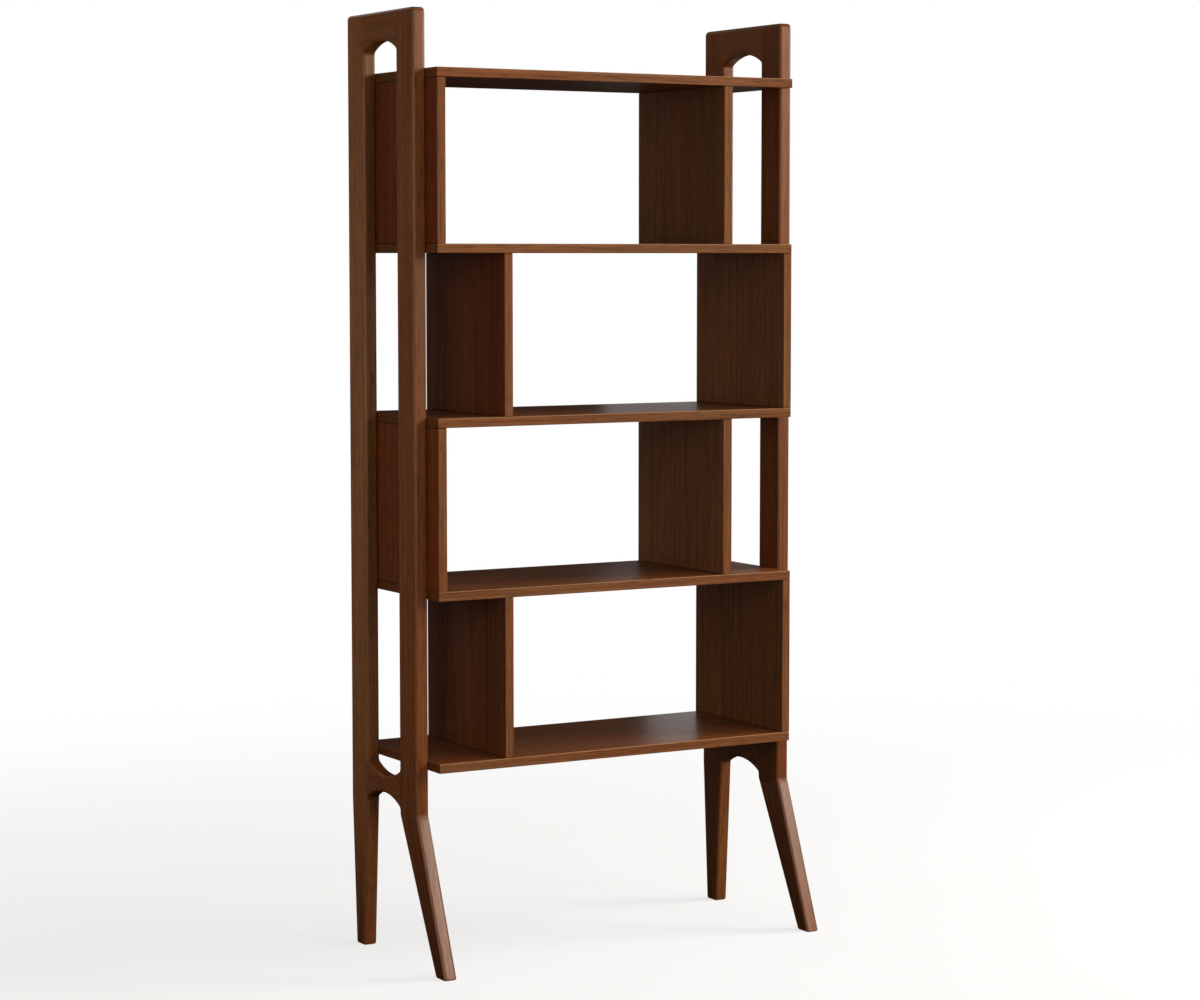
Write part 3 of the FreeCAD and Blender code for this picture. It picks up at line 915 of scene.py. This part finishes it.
class BOOKSHELF_OT_shelves(bpy.types.Operator):
    """Add the five shelves"""

    bl_idname = "bookshelf.shelves"
    bl_label = "Shelves"

    def execute(self, context):
        sizes = context.scene.bookshelf_boards
        wood = board_wood("walnut_stained_shelves", ALONG_X)
        dividers = divider_boards()
        for number, node in enumerate(SHELVES):
            low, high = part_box(node)
            end = high.x - sizes.stub_length
            board = add_block(f"{node}_wood", (-end, low.y, low.z), (end, high.y, high.z))
            ease_board(board)
            # The upper eased edges of a shelf get the painted highlight.
            mark_arris(board, lambda n: n.z > TILTED and abs(n.y) > TILTED, lambda n: False)
            combine(board, "UNION", [stub for side in SIDES for stub in shelf_stubs(node, side, 0)])
            grooves = []
            for divider_low, divider_high in dividers.values():
                lower, upper = tongue_blocks(sizes, divider_low, divider_high, sizes.clearance)
                if abs(divider_low.z - high.z) < TOUCH:
                    grooves.append(lower)
                if abs(divider_high.z - low.z) < TOUCH:
                    grooves.append(upper)
            combine(board, "DIFFERENCE", grooves)
            finish_piece(board, node, "shelf_wood", wood, plank_of("shelf", number))
        return {"FINISHED"}


class BOOKSHELF_OT_dividers(bpy.types.Operator):
    """Add the eight dividers"""

    bl_idname = "bookshelf.dividers"
    bl_label = "Dividers"

    def execute(self, context):
        sizes = context.scene.bookshelf_boards
        wood = board_wood("walnut_stained_dividers", ALONG_Z)
        for number, (node, (low, high)) in enumerate(divider_boards().items()):
            board = add_block(f"{node}_wood", low, high)
            ease_board(board)
            mark_arris(board, lambda n: False, lambda n: abs(n.z) > TILTED)
            combine(board, "UNION", tongue_blocks(sizes, low, high, 0))
            finish_piece(board, node, "divider_wood", wood, plank_of("divider", number))
        return {"FINISHED"}


# Stage.
# Lamps by name: place, width and height in metres, and power in watts.
LAMPS = {
    "key": ((2.55, -4.0, 2.42), 2.3, 1.0, 93),
    "right_side": ((4.2, -1.2, 2.4), 2.0, 2.0, 205),
    "left_front": ((-3.4, -4.0, 2.0), 2.2, 2.6, 48),
    "front_low": ((-0.42, -5.0, 0.9), 0.8, 1.4, 45),
    "overhead": ((0.0, -0.5, 4.5), 2.4, 2.4, 26),
    "left_side": ((-4.5, 0.6, 2.2), 2.2, 2.2, 12),
    "rear_left": ((-2.7, 4.0, 1.2), 2.4, 1.8, 2),
    "rear": ((0.3, 5.0, 1.2), 3.0, 2.0, 75),
    "left_strip": ((-1.35, 0.45, 1.25), 0.5, 1.0, 3.6),
    "key_card": ((2.55, -4.0, 2.52), 2.3, 1.0, 88),
    "front_card": ((2.2, -4.0, 1.05), 1.6, 2.3, 19.6),
    "low_shelf_card": ((0.94, 0.62, 0.54), 0.8, 0.26, 0.62),
    "third_shelf_card": ((0.83, 0.75, 1.13), 0.64, 0.3, 0.38),
    "left_front_card": ((-3.2, -5.5, 1.5), 0.8, 2.2, 45),
    "left_rim_card": ((-4.6, -2.6, 1.3), 0.5, 2.4, 36),
    "rear_rim_card": ((-0.6, 4.2, 3.4), 2.0, 0.6, 9),
}
AIM = Vector((0, 0, 0.9))
# These lamps light without a glare. The cards give only a glare.
NO_GLARE = ("key", "rear", "rear_left", "left_strip")
# These are flagged off everything but the side frames named here.
FLAGGED = {"left_strip": ["left"], "key_card": ["left", "right"]}
FRAME_PARTS = ["front_post", "rear_post", "front_leg", *RAILS]
FLOOR_RADIUS = 9
CAMERA_PLACE = (-2.9635, -5.1581, 1.3642)
CAMERA_PITCH = math.radians(4.674)
CAMERA_YAW = math.radians(30.121)
# Shares of the floor's colour in its paint and in its glow.
FLOOR_PAINT = 0.28
FLOOR_GLOW = 0.80
# Where the room's dark flag stands, seen from the bookshelf.
FLAG_TOWARDS = (0.5, 0.87, 0.0)


class BOOKSHELF_OT_stage(bpy.types.Operator):
    """Add the floor, the studio light and the camera"""

    bl_idname = "bookshelf.stage"
    bl_label = "Stage"

    def execute(self, context):
        scene = context.scene
        scene.view_settings.view_transform = "Standard"
        bpy.ops.object.select_all(action="DESELECT")
        bpy.ops.mesh.primitive_circle_add(
            vertices=96, radius=FLOOR_RADIUS, fill_type="NGON", location=(0, 0, 0)
        )
        floor = context.object
        floor.name = "floor"
        floor.data.materials.append(self.floor_paint(scene.bookshelf_colours.floor))
        floor.visible_diffuse = False
        floor.visible_glossy = False
        self.light_room(scene)
        for name, (spot, width, height, power) in LAMPS.items():
            self.add_lamp(context, name, spot, width, height, power)
        for name, sides in FLAGGED.items():
            lit = bpy.data.collections.new(f"lit_by_{name}")
            for piece in [f"{side}_{part}_wood" for side in sides for part in FRAME_PARTS]:
                lit.objects.link(bpy.data.objects[piece])
            bpy.data.objects[name].light_linking.receiver_collection = lit
        level_turn = math.pi / 2
        bpy.ops.object.camera_add(
            location=CAMERA_PLACE, rotation=(level_turn - CAMERA_PITCH, 0, -CAMERA_YAW)
        )
        camera = context.object
        camera.data.sensor_fit = "HORIZONTAL"
        camera.data.sensor_width = 36
        camera.data.lens = 90.23
        camera.data.clip_end = 100
        scene.camera = camera
        return {"FINISHED"}

    def add_lamp(self, context, name, spot, width, height, power):
        """Soft lamp or glare card that faces the bookshelf and is not seen itself."""
        bpy.ops.object.light_add(type="AREA", location=spot)
        lamp = context.object
        lamp.name = name
        lamp.data.shape = "RECTANGLE"
        lamp.data.size = width
        lamp.data.size_y = height
        lamp.data.energy = power
        lamp.rotation_euler = (AIM - Vector(spot)).to_track_quat("-Z", "Y").to_euler()
        lamp.visible_camera = False
        lamp.visible_glossy = name not in NO_GLARE
        lamp.visible_diffuse = not name.endswith("_card")

    def floor_paint(self, tone):
        """Matt pale floor, lit through from below, that fades out into the white room towards its rim."""
        material = bpy.data.materials.new("matt_floor_paint")
        material.use_nodes = True
        tree = material.node_tree
        tree.nodes.clear()
        place = add_node(tree, "ShaderNodeTexCoord")
        reach = add_node(tree, "ShaderNodeVectorMath", {0: place.outputs["Object"]}, operation="LENGTH")
        fade = add_node(
            tree,
            "ShaderNodeMapRange",
            {"Value": reach.outputs["Value"], "From Min": 1.0, "From Max": 3.5},
            interpolation_type="SMOOTHSTEP",
        )
        paint = add_node(tree, "ShaderNodeBsdfDiffuse", {"Color": (*[FLOOR_PAINT * c for c in tone], 1)})
        glow = add_node(tree, "ShaderNodeEmission", {"Color": (*tone, 1), "Strength": FLOOR_GLOW})
        table = add_node(tree, "ShaderNodeAddShader", {0: paint.outputs[0], 1: glow.outputs[0]})
        clear = add_node(tree, "ShaderNodeBsdfTransparent")
        mixed = add_node(
            tree,
            "ShaderNodeMixShader",
            {0: fade.outputs[0], 1: table.outputs[0], 2: clear.outputs[0]},
        )
        add_node(tree, "ShaderNodeOutputMaterial", {"Surface": mixed.outputs[0]})
        return material

    def light_room(self, scene):
        """White room to the eye, dim to the wood, so that the stained wood keeps its depth."""
        world = bpy.data.worlds.new("studio")
        world.use_nodes = True
        tree = world.node_tree
        tree.nodes.clear()
        path = add_node(tree, "ShaderNodeLightPath")
        place = add_node(tree, "ShaderNodeTexCoord")
        rise = add_node(tree, "ShaderNodeSeparateXYZ", {0: place.outputs["Generated"]})
        glow = add_node(
            tree,
            "ShaderNodeMapRange",
            {
                "Value": rise.outputs["Z"],
                "From Min": -0.26,
                "From Max": -0.10,
                "To Min": 0.01,
                "To Max": 0.085,
            },
        )
        # A dark flag behind on the right keeps the glare off the shelves' tops.
        away = add_node(
            tree,
            "ShaderNodeVectorMath",
            {0: place.outputs["Generated"], 1: FLAG_TOWARDS},
            operation="DOT_PRODUCT",
        )
        flag = add_node(
            tree,
            "ShaderNodeMapRange",
            {"Value": away.outputs["Value"], "From Min": 0.6, "From Max": 0.95, "To Min": 1.0, "To Max": 0.3},
        )
        level = add_node(
            tree, "ShaderNodeMath", {0: glow.outputs[0], 1: flag.outputs[0]}, operation="MULTIPLY"
        )
        dim = add_node(tree, "ShaderNodeBackground", {"Color": (1, 1, 1, 1), "Strength": level.outputs[0]})
        white = add_node(tree, "ShaderNodeBackground", {"Color": (1, 1, 1, 1), "Strength": 1.0})
        mixed = add_node(
            tree,
            "ShaderNodeMixShader",
            {0: path.outputs["Is Camera Ray"], 1: dim.outputs[0], 2: white.outputs[0]},
        )
        add_node(tree, "ShaderNodeOutputWorld", {"Surface": mixed.outputs[0]})
        scene.world = world


class BOOKSHELF_PT_panel(bpy.types.Panel):
    """Lists the bookshelf's pieces, sizes and colours"""

    bl_idname = "BOOKSHELF_PT_panel"
    bl_label = "Zigzag Bookshelf"
    bl_space_type = "VIEW_3D"
    bl_region_type = "UI"
    bl_category = "Bookshelf"

    def draw(self, context):
        for operator in OPERATORS:
            self.layout.operator(operator.bl_idname)
        for holder in GROUPS:
            group = getattr(context.scene, holder)
            box = self.layout.box()
            for name in group.bl_rna.properties.keys():
                if name not in ("rna_type", "name"):
                    box.prop(group, name)


GROUPS = {
    "bookshelf_frame": FrameSizes,
    "bookshelf_boards": BoardSizes,
    "bookshelf_colours": WoodColours,
}
OPERATORS = [
    BOOKSHELF_OT_front_posts,
    BOOKSHELF_OT_rear_posts,
    BOOKSHELF_OT_front_legs,
    BOOKSHELF_OT_rails,
    BOOKSHELF_OT_shelves,
    BOOKSHELF_OT_dividers,
    BOOKSHELF_OT_stage,
]


def register():
    for holder, group in GROUPS.items():
        bpy.utils.register_class(group)
        setattr(bpy.types.Scene, holder, PointerProperty(type=group))
    for operator in OPERATORS:
        bpy.utils.register_class(operator)
    bpy.utils.register_class(BOOKSHELF_PT_panel)


def unregister():
    bpy.utils.unregister_class(BOOKSHELF_PT_panel)
    for operator in reversed(OPERATORS):
        bpy.utils.unregister_class(operator)
    for holder, group in reversed(GROUPS.items()):
        delattr(bpy.types.Scene, holder)
        bpy.utils.unregister_class(group)


def main():
    register()
    bpy.ops.bookshelf.front_posts()
    bpy.ops.bookshelf.rear_posts()
    bpy.ops.bookshelf.front_legs()
    bpy.ops.bookshelf.rails()
    bpy.ops.bookshelf.shelves()
    bpy.ops.bookshelf.dividers()
    bpy.ops.bookshelf.stage()


if __name__ == "__main__":
    main()
